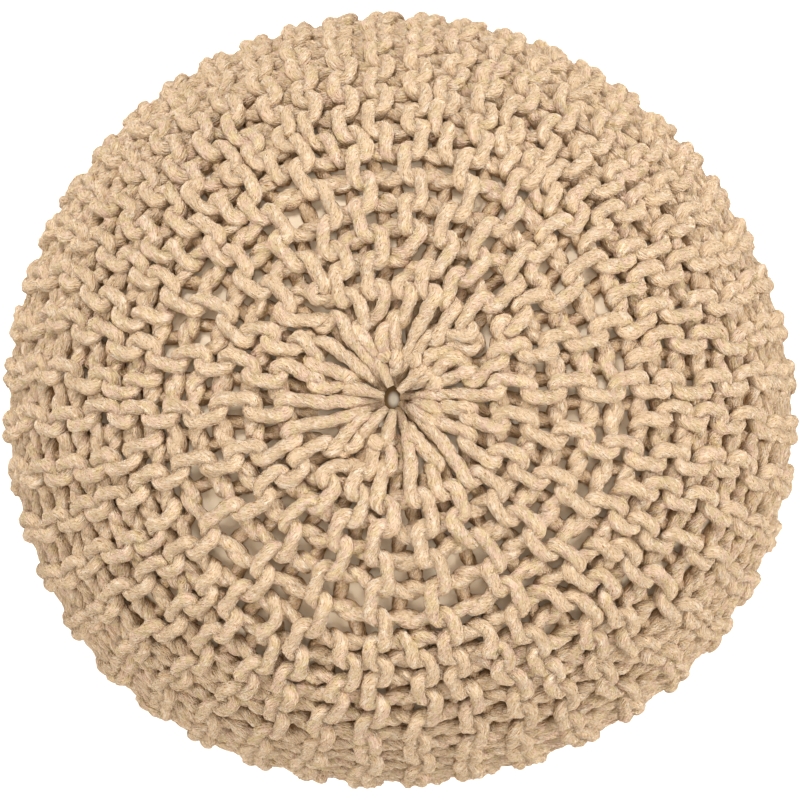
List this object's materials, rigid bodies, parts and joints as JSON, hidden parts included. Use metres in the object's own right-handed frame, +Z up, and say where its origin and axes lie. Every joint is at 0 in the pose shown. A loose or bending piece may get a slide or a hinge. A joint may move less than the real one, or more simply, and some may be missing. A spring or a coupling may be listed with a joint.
{
  "type": "knitted pouf",
  "caption": "Round floor pouf: a thick garter-stitch knitted cover, gathered to a small hole at the crown, over a filled cloth casing.",
  "frame": {"origin": "on the floor, under the middle of the pouf's outline", "axes": "+Z up, through the gathered centre of the crown to within 5 mm; +Y towards the top of the picture"},
  "size_m": [0.504, 0.4918, 0.3501],
  "materials": {
    "yarn": "matt plied cotton cord, cream with faint flecks",
    "casing_cloth": "matt plain-woven cloth"
  },
  "bodies": {
    "root": {"knit_cover": "yarn", "casing": "casing_cloth"}
  },
  "joints": []
}
